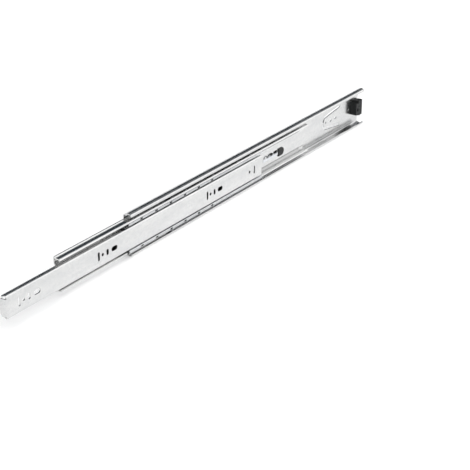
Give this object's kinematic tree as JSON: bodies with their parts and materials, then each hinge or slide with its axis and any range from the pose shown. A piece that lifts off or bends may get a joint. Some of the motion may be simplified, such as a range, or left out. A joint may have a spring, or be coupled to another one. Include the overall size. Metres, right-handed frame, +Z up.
{
  "type": "cabinet drawer slide",
  "caption": "Side-mounted telescopic drawer slide: three nested steel members on ball cages, with plastic stops, a release lever and screw tabs.",
  "frame": {"origin": "centre of the front cabinet screw hole, on the face that lies against the cabinet wall", "axes": "+X the way the drawer opens, +Y from the cabinet wall to the drawer, +Z up"},
  "size_m": [0.6232, 0.0127, 0.0456],
  "materials": {
    "zinc_steel": "bright zinc plated, cold rolled, fine lengthwise grain",
    "cage_steel": "plain stamped strip",
    "ball_steel": "polished bearing steel",
    "rivet_steel": "zinc plated rivet",
    "spring_steel": "bright spring strip",
    "black_plastic": "moulded acetal, fine texture"
  },
  "bodies": {
    "cabinet": {"cabinet_member": "zinc_steel", "rear_bumper": "black_plastic", "rear_cushion_loop": "black_plastic"},
    "middle": {"middle_member": "zinc_steel", "front_stop": "black_plastic", "rear_stop": "black_plastic", "front_stop_rivet": "rivet_steel", "front_catch": "cage_steel", "rear_catch": "cage_steel", "front_catch_spring": "spring_steel", "rear_catch_spring": "spring_steel"},
    "drawer": {"drawer_member": "zinc_steel", "lever_rivet": "rivet_steel"},
    "lever": {"release_lever": "black_plastic"},
    "outer_cage": {"outer_ball_cage": "cage_steel", "outer_balls_upper": "ball_steel", "outer_balls_lower": "ball_steel"},
    "inner_cage": {"inner_ball_cage": "cage_steel", "inner_balls_upper": "ball_steel", "inner_balls_lower": "ball_steel"}
  },
  "joints": [
    {"name": "middle_slide", "type": "slide", "parent": "cabinet", "child": "middle", "axis": [1, 0, 0], "range_m": [-0.101, 0.124]},
    {"name": "drawer_slide", "type": "slide", "parent": "middle", "child": "drawer", "axis": [1, 0, 0], "range_m": [-0.068, 0.127]},
    {"name": "outer_cage_roll", "type": "slide", "parent": "cabinet", "child": "outer_cage", "axis": [1, 0, 0], "range_m": [-0.0505, 0.062]},
    {"name": "inner_cage_roll", "type": "slide", "parent": "middle", "child": "inner_cage", "axis": [1, 0, 0], "range_m": [-0.034, 0.0635]},
    {"name": "lever_pivot", "type": "hinge", "parent": "drawer", "child": "lever", "pos_m": [-0.058, 0.0104, 0], "axis": [0, -1, 0], "range_deg": [0, 2.9], "stiffness_Nm_per_rad": 0.05, "springref_deg": -5.73}
  ],
  "couplings": [
    {"joint": "outer_cage_roll", "follows": "middle_slide", "ratio": 0.5},
    {"joint": "inner_cage_roll", "follows": "drawer_slide", "ratio": 0.5}
  ]
}
